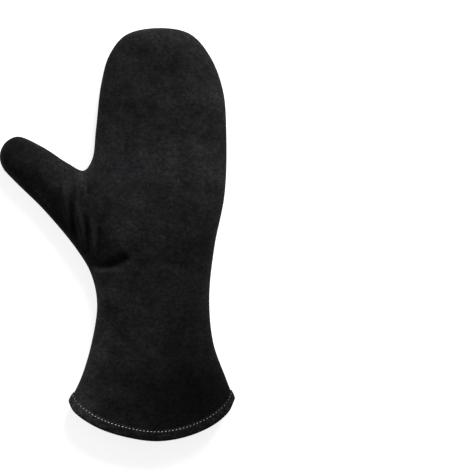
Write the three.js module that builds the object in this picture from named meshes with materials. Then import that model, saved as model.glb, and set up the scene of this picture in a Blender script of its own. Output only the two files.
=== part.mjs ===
// A suede fireplace mitten lying palm down, in millimetres.
// +Y runs from the cuff to the fingertips, -X is the thumb side and +Z leaves the back panel.
// The back and the palm are two shells sewn together round the edge, and a folded strip binds the mouth.

import * as THREE from "three";

// Leather and seam sizes.
const SHELL_WALL = 2.0;
const SEAM_GAP = 0.4;
const SEAM_ALLOWANCE = 5.0;
const BINDING_LEATHER = 1.2;
const BINDING_CLEARANCE = 0.3;
const BINDING_WIDTH = 9.5;
const BINDING_DROP = BINDING_CLEARANCE + BINDING_LEATHER;

// The back turns over at the seam for this share of its rise and is then gently domed.
const BACK_EDGE_SHARE = 0.52;
const BACK_DOME_REACH = 24;

// The palm would hang this much below the surface it lies on, so it is pressed flat there.
const PALM_SLACK = 1.08;

// Rows and columns of the two panels.
const BACK_MESH = { cuffRows: 20, thumbRows: 18, fingerRows: 14, columns: 26, thumbColumns: 16 };
const PALM_MESH = { cuffRows: 12, thumbRows: 9, fingerRows: 11, columns: 18, thumbColumns: 12 };
const ROWS_WITHOUT_ALLOWANCE = 3;

// The seam seen from above, from the cuff corner on the thumb side round to the other cuff corner.
const SEAM_POINTS = [
  { place: "thumb side cuff corner", x: -45.8, y: -161.2 },
  { place: "cuff flare", x: -34.8, y: -138.5 },
  { place: "above the cuff", x: -24.7, y: -104.4 },
  { place: "wrist", x: -19.6, y: -66.8 },
  { place: "heel of the thumb", x: -25.5, y: -38.2 },
  { place: "thumb start", x: -39.1, y: -15.0 },
  { place: "thumb underside", x: -71.0, y: 23.4 },
  { place: "thumb underside end", x: -100.4, y: 52.4 },
  { place: "thumb tip low", x: -111.1, y: 64.6 },
  { place: "thumb tip", x: -114.1, y: 76.4 },
  { place: "thumb tip top", x: -109.0, y: 88.6 },
  { place: "thumb tip high", x: -97.0, y: 94.8 },
  { place: "thumb upper side", x: -73.0, y: 85.1 },
  { place: "thumb root", x: -48.4, y: 69.3 },
  { place: "crotch", x: -32.4, y: 61.9 },
  { place: "first finger root", x: -24.5, y: 72.3 },
  { place: "first finger", x: -20.7, y: 101.6 },
  { place: "first finger bend", x: -15.5, y: 146.2 },
  { place: "first finger tip", x: -7.6, y: 174.1 },
  { place: "fingertip thumb side", x: 8.3, y: 193.4 },
  { place: "fingertip", x: 40.9, y: 200.2 },
  { place: "fingertip far side", x: 70.8, y: 194.3 },
  { place: "little finger tip", x: 90.2, y: 172.4 },
  { place: "little finger", x: 102.7, y: 139.3 },
  { place: "little finger bend", x: 105.9, y: 99.3 },
  { place: "heel of the hand", x: 104.3, y: 39.1 },
  { place: "above the wrist", x: 94.4, y: -12.0 },
  { place: "far side wrist", x: 89.4, y: -61.6 },
  { place: "far side above the cuff", x: 93.3, y: -105.3 },
  { place: "far side cuff flare", x: 105.3, y: -139.1 },
  { place: "far side cuff corner", x: 112.8, y: -158.6 },
];

// The cut edge of the cuff seen from above, between the same two corners.
const HEM_POINTS = [
  { place: "thumb side cuff corner", x: -45.8, y: -161.2 },
  { place: "thumb side turn", x: -41.1, y: -169.4 },
  { place: "thumb side", x: -19.4, y: -184.1 },
  { place: "thumb side middle", x: 7.0, y: -193.1 },
  { place: "middle", x: 38.6, y: -197.6 },
  { place: "far side middle", x: 68.0, y: -193.0 },
  { place: "far side", x: 93.9, y: -181.4 },
  { place: "far side turn", x: 108.1, y: -168.8 },
  { place: "far side cuff corner", x: 112.8, y: -158.6 },
];

// Along the mitten: height of the seam above the table, rise of the back above the seam, and the
// radii with which the back and the palm turn over at the seam.
const PROFILE = [
  { y: 200, seam: 12.5, rise: 25.0, backTurn: 14, palmTurn: 12 },
  { y: 110, seam: 13.5, rise: 27.5, backTurn: 14, palmTurn: 12 },
  { y: 20, seam: 14.0, rise: 28.0, backTurn: 14, palmTurn: 12 },
  { y: -60, seam: 13.0, rise: 23.5, backTurn: 15, palmTurn: 14 },
  { y: -120, seam: 13.0, rise: 20.0, backTurn: 18, palmTurn: 18 },
  { y: -200, seam: 13.0, rise: 13.5, backTurn: 26, palmTurn: 24 },
];
const THUMB = { startsAt: -25, fullAt: -75, seamDrop: 2.0, riseShare: 0.84 };

// Folds of the back panel: three points that the fold follows, its height in the middle, and its
// half width on the left and on the right of the way from the first point to the last.
const FOLDS = [
  {
    name: "under the thumb", height: -3.6, left: 8.0, right: 7.0,
    x1: -85, y1: 54, x2: -60, y2: 24, x3: -39, y3: -8,
  },
  {
    name: "outer thumb ridge", height: 2.8, left: 3.6, right: 3.0,
    x1: -52, y1: 58, x2: -50.5, y2: 28, x3: -42, y3: -6,
  },
  {
    name: "outer thumb groove", height: -0.8, left: 3.2, right: 3.2,
    x1: -43, y1: 58, x2: -45, y2: 40, x3: -44, y3: 22,
  },
  {
    name: "thumb side groove", height: -3.4, left: 3.4, right: 3.6,
    x1: -45, y1: 24, x2: -41, y2: 4, x3: -35.5, y3: -16,
  },
  {
    name: "middle thumb ridge", height: 2.8, left: 3.6, right: 3.2,
    x1: -35, y1: 64, x2: -40, y2: 30, x3: -30, y3: -16,
  },
  {
    name: "slit below the crotch", height: -1.8, left: 3.0, right: 3.0,
    x1: -28, y1: 60, x2: -29, y2: 48, x3: -28, y3: 36,
  },
  {
    name: "inner thumb groove", height: -3.8, left: 3.2, right: 3.4,
    x1: -31, y1: 20, x2: -28.5, y2: -3, x3: -24, y3: -32,
  },
  {
    name: "inner thumb ridge", height: 2.8, left: 3.4, right: 3.2,
    x1: -25, y1: 14, x2: -22.5, y2: -8, x3: -25, y3: -31,
  },
  {
    name: "hand groove", height: -2.4, left: 4.6, right: 4.4,
    x1: -9, y1: 66, x2: -12.5, y2: 36, x3: -14, y3: 8,
  },
  {
    name: "wing of the pinch", height: -3.0, left: 5.2, right: 3.2,
    x1: -17, y1: 20, x2: -20, y2: -6, x3: -20, y3: -34,
  },
  {
    name: "hand side ridge", height: 3.0, left: 6.5, right: 4.6,
    x1: 7, y1: 28, x2: -4, y2: 3, x3: -12, y3: -18,
  },
  {
    name: "ball of the thumb", height: 0.8, left: 9.0, right: 7.0,
    x1: -14, y1: -2, x2: -4, y2: -4, x3: 8, y3: -1,
  },
  {
    name: "wrist pinch", height: -6.6, left: 6.0, right: 3.2,
    x1: -40, y1: -34.5, x2: -1, y2: -31.5, x3: 15, y3: -18,
  },
  {
    name: "lip of the pinch", height: 1.4, left: 3.2, right: 8.0,
    x1: -30, y1: -37, x2: 1, y2: -36, x3: 18, y3: -24,
  },
  {
    name: "fold below the pinch", height: 1.2, left: 3.4, right: 3.4,
    x1: 9, y1: -22, x2: 5, y2: -33, x3: 3, y3: -48,
  },
  {
    name: "wrist crease", height: -1.0, left: 4.5, right: 4.5,
    x1: 10, y1: -35, x2: 42, y2: -26, x3: 72, y3: -36,
  },
  {
    name: "heel groove", height: -0.8, left: 3.4, right: 3.4,
    x1: 84, y1: 78, x2: 85.5, y2: 42, x3: 84, y3: 6,
  },
];

function mix(a, b, share) {
  return a + (b - a) * share;
}

function smoothStep(low, high, value) {
  const share = Math.min(1, Math.max(0, (value - low) / (high - low)));
  return share * share * (3 - 2 * share);
}

// A smooth curve through a table of places, which can be read between two of them by name.
class PlanCurve {
  constructor(table) {
    this.names = table.map((row) => row.place);
    const points = table.map((row) => new THREE.Vector3(row.x, row.y, 0));
    this.spline = new THREE.CatmullRomCurve3(points, false, "centripetal");
  }

  // Points between two places, at the given shares of the length between them.
  between(from, to, shares) {
    const last = this.names.length - 1;
    const start = this.names.indexOf(from) / last;
    const end = this.names.indexOf(to) / last;
    const steps = 240;
    const samples = [];
    for (let i = 0; i <= steps; i++) {
      samples.push(this.spline.getPoint(mix(start, end, i / steps)));
    }
    const lengths = [0];
    for (let i = 1; i <= steps; i++) {
      lengths.push(lengths[i - 1] + samples[i].distanceTo(samples[i - 1]));
    }
    return shares.map((share) => {
      const wanted = share * lengths[steps];
      let i = 1;
      while (i < steps && lengths[i] < wanted) {
        i++;
      }
      const part = (wanted - lengths[i - 1]) / (lengths[i] - lengths[i - 1]);
      const point = samples[i - 1].clone().lerp(samples[i], part);
      return { x: point.x, y: point.y };
    });
  }
}

const SEAM = new PlanCurve(SEAM_POINTS);
const HEM = new PlanCurve(HEM_POINTS);

function evenShares(count) {
  return Array.from({ length: count + 1 }, (_, i) => i / count);
}

// Shares from 0 to 1 that lie closer together at the chosen ends.
function crowdedShares(count, startWeight, endWeight) {
  return evenShares(count).map((share) => {
    const early = 1 - Math.cos((share * Math.PI) / 2);
    const late = Math.sin((share * Math.PI) / 2);
    const both = (1 - Math.cos(share * Math.PI)) / 2;
    if (startWeight && endWeight) {
      return mix(share, both, startWeight);
    }
    if (startWeight) {
      return mix(share, early, startWeight);
    }
    return mix(share, late, endWeight);
  });
}

// Straight pieces of the seam, carried on past the two cuff corners.
function seamPieces() {
  const line = SEAM.between(SEAM.names[0], SEAM.names.at(-1), evenShares(180));
  const first = line[0];
  const second = line[1];
  const last = line.at(-1);
  const beforeLast = line.at(-2);
  const reach = 40;
  line.unshift({
    x: first.x + (first.x - second.x) * reach,
    y: first.y + (first.y - second.y) * reach,
  });
  line.push({
    x: last.x + (last.x - beforeLast.x) * reach,
    y: last.y + (last.y - beforeLast.y) * reach,
  });
  const pieces = [];
  for (let i = 1; i < line.length; i++) {
    const dx = line[i].x - line[i - 1].x;
    const dy = line[i].y - line[i - 1].y;
    const length = Math.hypot(dx, dy);
    pieces.push({ x: line[i - 1].x, y: line[i - 1].y, tx: dx / length, ty: dy / length, length });
  }
  return pieces;
}

const PIECES = seamPieces();

// A distance to the seam that stays smooth in the middle of the mitten.
function seamDistance(x, y) {
  let pull = 0;
  for (const piece of PIECES) {
    const ax = piece.x - x;
    const ay = piece.y - y;
    const near = ax * piece.tx + ay * piece.ty;
    const far = near + piece.length;
    const across = Math.max(1e-3, Math.abs(ax * piece.ty - ay * piece.tx));
    const share = far / Math.hypot(far, across) - near / Math.hypot(near, across);
    pull += share / (across * across);
  }
  return Math.sqrt(2 / pull);
}

function profileAt(y, column) {
  let i = 1;
  while (i < PROFILE.length - 1 && y < PROFILE[i].y) {
    i++;
  }
  const share = smoothStep(PROFILE[i - 1].y, PROFILE[i].y, y);
  return mix(PROFILE[i - 1][column], PROFILE[i][column], share);
}

function thumbShare(x) {
  return smoothStep(-THUMB.startsAt, -THUMB.fullAt, -x);
}

function seamHeight(x, y) {
  return profileAt(y, "seam") - THUMB.seamDrop * thumbShare(x);
}

// The height that one fold adds, which fades out at both of its ends.
function singleFold(fold, x, y) {
  const stretches = [
    [fold.x1, fold.y1, fold.x2, fold.y2, 0],
    [fold.x2, fold.y2, fold.x3, fold.y3, 0.5],
  ];
  let nearest = Infinity;
  let value = 0;
  for (const [ax, ay, bx, by, begin] of stretches) {
    const dx = bx - ax;
    const dy = by - ay;
    const along = ((x - ax) * dx + (y - ay) * dy) / (dx * dx + dy * dy);
    const share = Math.min(1, Math.max(0, along));
    const offX = x - ax - dx * share;
    const offY = y - ay - dy * share;
    const off = Math.hypot(offX, offY);
    if (off < nearest) {
      const side = smoothStep(-1.5, 1.5, (offY * dx - offX * dy) / Math.hypot(dx, dy));
      const taper = 1 - Math.abs(2 * (begin + share / 2) - 1) ** 3;
      nearest = off;
      value = fold.height * taper * Math.exp(-((off / mix(fold.right, fold.left, side)) ** 2));
    }
  }
  return value;
}

function foldHeight(x, y) {
  return FOLDS.reduce((height, fold) => height + singleFold(fold, x, y), 0);
}

function turnOver(distance, radius) {
  return Math.sqrt(1 - Math.exp((-2 * distance) / radius));
}

function hemY(x) {
  const points = HEM_POINTS;
  let i = 1;
  while (i < points.length - 1 && x > points[i].x) {
    i++;
  }
  const share = (x - points[i - 1].x) / (points[i].x - points[i - 1].x);
  return mix(points[i - 1].y, points[i].y, Math.min(1, Math.max(0, share)));
}

function backSurface(x, y) {
  const distance = seamDistance(x, y);
  const rise = profileAt(y, "rise") * mix(1, THUMB.riseShare, thumbShare(x));
  const edge = BACK_EDGE_SHARE * turnOver(distance, profileAt(y, "backTurn"));
  const dome = (1 - BACK_EDGE_SHARE) * (1 - Math.exp(-distance / BACK_DOME_REACH));
  const body = rise * (edge + dome);
  return seamHeight(x, y) + SEAM_GAP / 2 + body + foldHeight(x, y) * smoothStep(0, 12, distance);
}

// The palm lies flat on the table, and stands off it by the binding's thickness at the mouth.
function palmSurface(x, y) {
  const distance = seamDistance(x, y);
  const seam = seamHeight(x, y) - SEAM_GAP / 2;
  const hang = seam * PALM_SLACK * turnOver(distance, profileAt(y, "palmTurn"));
  const standOff = BINDING_DROP * (1 - smoothStep(14, 40, y - hemY(x)));
  return Math.max(standOff, seam - hang);
}

// A grid of plan points filling four sides, by rows from the bottom side to the top side.
function fillSides(bottom, top, left, right) {
  const rows = left.length - 1;
  const columns = bottom.length - 1;
  const grid = [];
  for (let i = 0; i <= rows; i++) {
    const row = [];
    for (let j = 0; j <= columns; j++) {
      const point = {};
      for (const axis of ["x", "y"]) {
        const uShare = bottom.shares[j];
        const vShare = left.shares[i];
        const acrossValue = mix(left[i][axis], right[i][axis], uShare);
        const alongValue = mix(bottom[j][axis], top[j][axis], vShare);
        const lower = mix(bottom[0][axis], bottom[columns][axis], uShare);
        const upper = mix(top[0][axis], top[columns][axis], uShare);
        point[axis] = acrossValue + alongValue - mix(lower, upper, vShare);
      }
      row.push(point);
    }
    grid.push(row);
  }
  return grid;
}

// Evens out the grid next to a corner that lies on a smooth stretch of the seam.
function relaxCorner(grid, row, column) {
  const rowStep = row === 0 ? 1 : -1;
  const columnStep = column === 0 ? 1 : -1;
  for (let pass = 0; pass < 60; pass++) {
    for (let i = 1; i < 5; i++) {
      for (let j = 1; j < 5; j++) {
        const r = row + i * rowStep;
        const c = column + j * columnStep;
        const around = [grid[r - 1][c], grid[r + 1][c], grid[r][c - 1], grid[r][c + 1]];
        grid[r][c].x = around.reduce((sum, point) => sum + point.x, 0) / 4;
        grid[r][c].y = around.reduce((sum, point) => sum + point.y, 0) / 4;
      }
    }
  }
}

function withShares(points, shares) {
  points.shares = shares;
  return points;
}

// Points of the far side seam at the heights of the points on the thumb side.
function farSideAt(heights) {
  const line = SEAM.between("far side cuff corner", "fingertip far side", evenShares(400));
  const low = line[0].y;
  const high = line.at(-1).y;
  const first = heights[0];
  const last = heights.at(-1);
  return heights.map((height) => {
    const wanted = mix(low, high, (height - first) / (last - first));
    let i = 1;
    while (i < line.length - 1 && line[i].y < wanted) {
      i++;
    }
    const share = (wanted - line[i - 1].y) / (line[i].y - line[i - 1].y);
    return { x: mix(line[i - 1].x, line[i].x, share), y: wanted };
  });
}

// The line between hand and thumb, which meets the seam squarely at both ends.
function thumbBase(start, crotch, shares) {
  const line = new THREE.CubicBezierCurve3(
    new THREE.Vector3(start.x, start.y, 0),
    new THREE.Vector3(start.x + 19, start.y + 15, 0),
    new THREE.Vector3(crotch.x + 1, crotch.y - 24, 0),
    new THREE.Vector3(crotch.x, crotch.y, 0)
  );
  return shares.map((share) => {
    const point = line.getPointAt(share);
    return { x: point.x, y: point.y };
  });
}

// Plan grids of the hand with the cuff and of the thumb, which share the thumb's base line.
function planGrids(mesh) {
  const cuffLength = 166;
  const cuffShares = [0, BINDING_WIDTH / cuffLength];
  for (const share of crowdedShares(mesh.cuffRows - 1, 0, 0.7).slice(1)) {
    cuffShares.push(mix(cuffShares[1], 1, share));
  }
  const cuff = SEAM.between("thumb side cuff corner", "thumb start", cuffShares);
  const start = cuff.at(-1);
  const crotch = SEAM.between("crotch", "first finger root", [0])[0];
  const baseShares = crowdedShares(mesh.thumbRows, 0.75, 0.75);
  const base = thumbBase(start, crotch, baseShares);
  const fingerShares = crowdedShares(mesh.fingerRows, 0.75, 0.75);
  const fingers = SEAM.between("crotch", "fingertip thumb side", fingerShares);
  const left = [...cuff, ...base.slice(1), ...fingers.slice(1)];
  const lowest = left[0].y;
  const tallest = left.at(-1).y;
  withShares(left, left.map((point) => (point.y - lowest) / (tallest - lowest)));
  const right = farSideAt(left.map((point) => point.y));
  const across = crowdedShares(mesh.columns, 0.85, 0.85);
  const hem = HEM.between("thumb side cuff corner", "far side cuff corner", across);
  const tip = SEAM.between("fingertip thumb side", "fingertip far side", across);
  const hand = fillSides(withShares(hem, across), tip, left, right);
  relaxCorner(hand, hand.length - 1, 0);
  relaxCorner(hand, hand.length - 1, mesh.columns);

  const along = crowdedShares(mesh.thumbColumns, 0.6, 0.6);
  const underside = SEAM.between("thumb start", "thumb tip low", along);
  const upperSide = SEAM.between("crotch", "thumb tip high", along);
  const thumbTip = SEAM.between("thumb tip low", "thumb tip high", baseShares);
  withShares(base, baseShares);
  const thumb = fillSides(base, thumbTip, withShares(underside, along), upperSide);
  relaxCorner(thumb, mesh.thumbColumns, 0);
  relaxCorner(thumb, mesh.thumbColumns, mesh.thumbRows);
  return { hand, thumb };
}

// Collects the points and triangles of one closed solid.
class Solid {
  constructor(flipped) {
    this.flipped = flipped;
    this.positions = [];
    this.triangles = [];
  }

  point(position) {
    this.positions.push(position.x, position.y, position.z);
    return this.positions.length / 3 - 1;
  }

  triangle(a, b, c) {
    this.triangles.push(...(this.flipped ? [a, c, b] : [a, b, c]));
  }

  distance(a, b) {
    const p = this.positions;
    return Math.hypot(p[3 * a] - p[3 * b], p[3 * a + 1] - p[3 * b + 1], p[3 * a + 2] - p[3 * b + 2]);
  }

  // Four corners in order, cut from the first to the third or along the shorter diagonal.
  quad(a, b, c, d, fromFirst = this.distance(a, c) <= this.distance(b, d)) {
    if (fromFirst) {
      this.triangle(a, b, c);
      this.triangle(a, c, d);
    } else {
      this.triangle(a, b, d);
      this.triangle(b, c, d);
    }
  }

  mesh(name, colour, roughness) {
    const geometry = new THREE.BufferGeometry();
    geometry.setAttribute("position", new THREE.Float32BufferAttribute(this.positions, 3));
    geometry.setIndex(this.triangles);
    geometry.computeVertexNormals();
    const material = new THREE.MeshStandardMaterial({ color: colour, roughness });
    const mesh = new THREE.Mesh(geometry, material);
    mesh.name = name;
    return mesh;
  }
}

// The plan points of a panel, its four cornered patches and its two borders.
function panelLayout(mesh) {
  const { hand, thumb } = planGrids(mesh);
  const points = [];
  const add = (point) => {
    points.push(point);
    return points.length - 1;
  };
  const handIds = hand.map((row) => row.map(add));
  const thumbIds = thumb.map((row, i) =>
    row.map((point, j) => (i === 0 ? handIds[mesh.cuffRows + j][0] : add(point)))
  );
  const patches = [];
  for (const ids of [handIds, thumbIds]) {
    for (let i = 1; i < ids.length; i++) {
      for (let j = 1; j < ids[i].length; j++) {
        patches.push([ids[i - 1][j - 1], ids[i - 1][j], ids[i][j], ids[i][j - 1]]);
      }
    }
  }
  const crotchRow = mesh.cuffRows + mesh.thumbRows;
  const seam = [];
  for (let i = 0; i <= mesh.cuffRows; i++) {
    seam.push(handIds[i][0]);
  }
  for (let i = 1; i < thumbIds.length; i++) {
    seam.push(thumbIds[i][0]);
  }
  seam.push(...thumbIds.at(-1).slice(1));
  for (let i = thumbIds.length - 2; i > 0; i--) {
    seam.push(thumbIds[i].at(-1));
  }
  for (let i = crotchRow; i < handIds.length; i++) {
    seam.push(handIds[i][0]);
  }
  seam.push(...handIds.at(-1).slice(1));
  for (let i = handIds.length - 2; i >= 0; i--) {
    seam.push(handIds[i].at(-1));
  }
  return { points, patches, seam, hem: handIds[0], bindingTop: handIds[1] };
}

// Outward direction in plan at every point of the seam.
function seamDirections(points, seam) {
  const directions = new Map();
  seam.forEach((id, k) => {
    const before = points[seam[Math.max(0, k - 1)]];
    const after = points[seam[Math.min(seam.length - 1, k + 1)]];
    const length = Math.hypot(after.x - before.x, after.y - before.y);
    directions.set(id, {
      x: -(after.y - before.y) / length,
      y: (after.x - before.x) / length,
    });
  });
  return directions;
}

// The outer points of a panel with the direction that leaves the leather there.
function outerPoints(layout, surface, side) {
  const directions = seamDirections(layout.points, layout.seam);
  const step = 0.2;
  return layout.points.map((point, id) => {
    const { x, y } = point;
    if (directions.has(id)) {
      const out = directions.get(id);
      const z = seamHeight(x, y) + (side * SEAM_GAP) / 2;
      return { position: new THREE.Vector3(x, y, z), out: new THREE.Vector3(out.x, out.y, 0) };
    }
    const slopeX = (surface(x + step, y) - surface(x - step, y)) / (2 * step);
    const slopeY = (surface(x, y + step) - surface(x, y - step)) / (2 * step);
    const out = new THREE.Vector3(-slopeX, -slopeY, 1).multiplyScalar(side).normalize();
    return { position: new THREE.Vector3(x, y, surface(x, y)), out };
  });
}

// How far the straight line between two points leaves the surface halfway.
function sag(surface, a, b) {
  const middle = a.position.clone().lerp(b.position, 0.5);
  return Math.abs(surface(middle.x, middle.y) - middle.z);
}

function panel(name, mesh, surface, side, colour) {
  const layout = panelLayout(mesh);
  const outer = outerPoints(layout, surface, side);
  const solid = new Solid(side < 0);
  const rise = new THREE.Vector3(0, 0, side);
  const seam = layout.seam;
  const place = new Map(seam.map((id, k) => [id, k]));
  const hasAllowance = (k) =>
    k >= ROWS_WITHOUT_ALLOWANCE && k < seam.length - ROWS_WITHOUT_ALLOWANCE;

  const outerIds = outer.map(({ position }) => solid.point(position));
  const innerIds = outer.map(({ position, out }, id) => {
    const inner = position.clone().addScaledVector(out, -SHELL_WALL);
    if (place.has(id) && hasAllowance(place.get(id))) {
      inner.addScaledVector(rise, SHELL_WALL);
    }
    return solid.point(inner);
  });
  for (const [a, b, c, d] of layout.patches) {
    const first = sag(surface, outer[a], outer[c]) <= sag(surface, outer[b], outer[d]);
    solid.quad(outerIds[a], outerIds[b], outerIds[c], outerIds[d], first);
    solid.quad(innerIds[a], innerIds[d], innerIds[c], innerIds[b], first);
  }

  // The allowance is a flat strip turned in along the seam.
  const lip = seam.map((id, k) => {
    if (!hasAllowance(k)) {
      return { low: innerIds[id], high: innerIds[id] };
    }
    const { position, out } = outer[id];
    const low = position.clone().addScaledVector(out, -SHELL_WALL - SEAM_ALLOWANCE);
    const high = low.clone().addScaledVector(rise, SHELL_WALL);
    return { low: solid.point(low), high: solid.point(high) };
  });
  for (let k = 1; k < seam.length; k++) {
    const a = seam[k - 1];
    const b = seam[k];
    const strips = [
      [outerIds[a], lip[k - 1].low, lip[k].low, outerIds[b]],
      [lip[k - 1].low, lip[k - 1].high, lip[k].high, lip[k].low],
      [lip[k - 1].high, innerIds[a], innerIds[b], lip[k].high],
    ];
    for (const strip of strips) {
      const corners = strip.filter((corner, i) => corner !== strip[(i + 3) % 4]);
      if (corners.length === 4) {
        solid.quad(corners[3], corners[2], corners[1], corners[0]);
      } else if (corners.length === 3) {
        solid.triangle(corners[2], corners[1], corners[0]);
      }
    }
  }

  // The cut edge at the mouth.
  const hem = layout.hem;
  for (let j = 1; j < hem.length; j++) {
    solid.quad(outerIds[hem[j - 1]], innerIds[hem[j - 1]], innerIds[hem[j]], outerIds[hem[j]]);
  }
  return { mesh: solid.mesh(name, colour, 0.95), layout, outer };
}

// One section of the binding, folded over the cut edge of the shell.
function bindingSection(edge, above) {
  const down = edge.position.clone().sub(above.position);
  down.addScaledVector(edge.out, -down.dot(edge.out)).normalize();
  const outside = BINDING_CLEARANCE + BINDING_LEATHER;
  const inside = -SHELL_WALL - outside;
  const foldRadius = (outside - inside) / 2;
  const at = (from, out, drop) =>
    from.position.clone().addScaledVector(from.out, out).addScaledVector(down, drop);
  const section = [at(above, outside - 0.5, 0)];
  const foldSteps = 4;
  for (let i = 0; i <= foldSteps; i++) {
    const angle = (Math.PI * i) / foldSteps;
    const out = (outside + inside) / 2 + foldRadius * Math.cos(angle);
    section.push(at(edge, out, foldRadius * Math.sin(angle)));
  }
  section.push(at(above, inside, 0));
  section.push(at(above, inside + BINDING_LEATHER, 0));
  section.push(at(edge, inside + BINDING_LEATHER, BINDING_CLEARANCE));
  section.push(at(edge, BINDING_CLEARANCE, BINDING_CLEARANCE));
  section.push(at(above, BINDING_CLEARANCE, 0));
  return section;
}

function binding(back, palm) {
  const stations = [];
  const collect = (made, order) => {
    const { hem, bindingTop } = made.layout;
    for (const j of order) {
      stations.push([made.outer[hem[j]], made.outer[bindingTop[j]]]);
    }
  };
  const backCount = back.layout.hem.length;
  const palmCount = palm.layout.hem.length;
  collect(back, Array.from({ length: backCount }, (_, j) => j));
  collect(palm, Array.from({ length: palmCount }, (_, j) => palmCount - 1 - j));
  const solid = new Solid(false);
  const rings = stations.map(([edge, above]) => bindingSection(edge, above).map((p) => solid.point(p)));
  rings.forEach((ring, k) => {
    const next = rings[(k + 1) % rings.length];
    ring.forEach((id, i) => {
      const following = (i + 1) % ring.length;
      solid.quad(id, ring[following], next[following], next[i]);
    });
  });
  return solid.mesh("hem_binding", 0x2a2a2c, 0.9);
}

const mitten = new THREE.Group();
mitten.name = "fireplace_mitten";
const back = panel("back_panel", BACK_MESH, backSurface, 1, 0x232325);
const palm = panel("palm_panel", PALM_MESH, palmSurface, -1, 0x202022);
mitten.add(back.mesh, palm.mesh, binding(back, palm));

export default mitten;
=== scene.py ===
"""A black suede fireplace mitten, lying palm down and seen from straight above."""

import math

import bpy
import numpy as np
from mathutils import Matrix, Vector, noise


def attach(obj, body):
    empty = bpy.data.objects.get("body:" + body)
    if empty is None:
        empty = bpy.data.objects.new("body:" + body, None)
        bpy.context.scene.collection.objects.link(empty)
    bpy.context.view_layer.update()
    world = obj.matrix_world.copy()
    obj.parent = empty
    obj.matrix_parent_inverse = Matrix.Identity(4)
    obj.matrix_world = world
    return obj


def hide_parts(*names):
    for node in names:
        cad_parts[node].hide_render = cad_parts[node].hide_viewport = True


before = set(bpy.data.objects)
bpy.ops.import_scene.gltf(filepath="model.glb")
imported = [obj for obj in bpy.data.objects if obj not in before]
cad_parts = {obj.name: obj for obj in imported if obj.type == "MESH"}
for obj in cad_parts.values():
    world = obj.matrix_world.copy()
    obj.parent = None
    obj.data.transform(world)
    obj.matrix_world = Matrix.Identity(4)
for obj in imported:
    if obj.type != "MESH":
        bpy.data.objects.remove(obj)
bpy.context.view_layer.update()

MM = 0.001

# Sizes are in millimetres, down to the heading that changes to metres.
SHELL_WALL = 2.0
SEAM_GAP = 0.32
BINDING_LEATHER = 1.2
BINDING_CLEARANCE = 0.25
BINDING_WIDTH = 9.5

# Share of the back's rise that lies in its turn-over at the seam, and reach of the dome above it.
BACK_EDGE_SHARE = 0.52
BACK_DOME_REACH = 24.0

# How far the palm would hang below the seam without the table, as a share of the seam's height.
PALM_SLACK = 1.08

# The palm stands off the table by the mouth, where the binding lies under it: how far, and the
# distances from the hem between which that fades out.
STAND_OFF = 1.6
STAND_OFF_FADE = (14.0, 40.0)

# Slight waves of the soft leather: height and length of each.
RUMPLES = [(0.55, 27.0), (0.16, 9.0)]

# Folds fade out within this distance from the seam, and change from their left to their right
# width within this distance from their line.
FOLD_FADE = 12.0
FOLD_TURN = 1.5

# Counts of faces of each panel's grid: along the cuff, the thumb's base and the fingers, across
# the hand, and along the thumb.
BACK_MESH = {"cuff": 110, "thumb": 76, "fingers": 84, "columns": 104, "along": 70}
PALM_MESH = {"cuff": 64, "thumb": 40, "fingers": 48, "columns": 60, "along": 40}

# How strongly the lines of the grid crowd toward the ends of those same stretches.
CROWDING = {"cuff": 0.7, "thumb": 0.75, "fingers": 0.75, "columns": 0.85, "along": 0.6}

# Rows of the grid that lie under the binding, and length of the cuff's side that sets them.
BINDING_ROWS = 4
CUFF_SIDE_LENGTH = 166.0

# The grid is evened out near its round corners, as far as its width divided by the first number
# for the hand and by the second for the thumb, and as often as the third says.
HAND_CORNER_DIVISOR = 5
THUMB_CORNER_DIVISOR = 4
RELAX_ROUNDS = 1500

# Directions in which the thumb's base line leaves its start and the crotch.
THUMB_BASE_PULL = (19, 15)
CROTCH_PULL = (1, -24)

# Samples taken of each curve that is measured.
CURVE_SAMPLES = 1200
THUMB_BASE_SAMPLES = 400
SEAM_SAMPLES = 361

# The seam's line runs on past both corners by this many of its steps.
SEAM_TAIL_STEPS = 80

# Points whose distance to the seam is found together, and the least distance that counts.
POINTS_AT_ONCE = 8000
LEAST_DISTANCE = 1e-3

# The binding's section. Its outer face is pressed down at the free edge and along the stitches,
# and crowned between the stitches and the fold; reaches are shares of the leg's width.
FREE_EDGE_PRESS = 0.66
FREE_EDGE_REACH = 0.12
GROOVE_DEPTH = 0.32
GROOVE_REACH = 0.075
CROWN_RISE = 0.15
CROWN_START = 0.25

# Stations round the mouth, rows of the outer leg, the fold and the inner leg, and how often the
# directions at the stations are smoothed.
BINDING_STATIONS = 560
OUTER_LEG_ROWS = 22
FOLD_ROWS = 12
INNER_LEG_ROWS = 12
NORMAL_SMOOTHINGS = 6

# The stitches of the hem. The line's place is a share of the leg's width, counted from the fold.
STITCH_PITCH = 3.5
STITCH_LENGTH = 2.1
STITCH_RADIUS = 0.26
STITCH_LINE = 0.78
STITCH_ARCH = 0.52
STITCH_SINK = 0.30
STITCH_SLANT = 0.10
STITCH_TIP_SHARE = 0.35
STITCH_FLATNESS = 0.8
STITCH_RINGS = 9
STITCH_SIDES = 8

# A stitch points the way that its line takes over this distance to both sides of its middle.
WAY_STEP = 0.2

# Unevenness of the stitches: strength as a share of the pitch or of the length, step in the noise
# from stitch to stitch, and the noise's own lane.
PLACE_JITTER = (0.05, 0.73, 4.1)
LENGTH_JITTER = (0.10, 1.31, 9.7)

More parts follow.
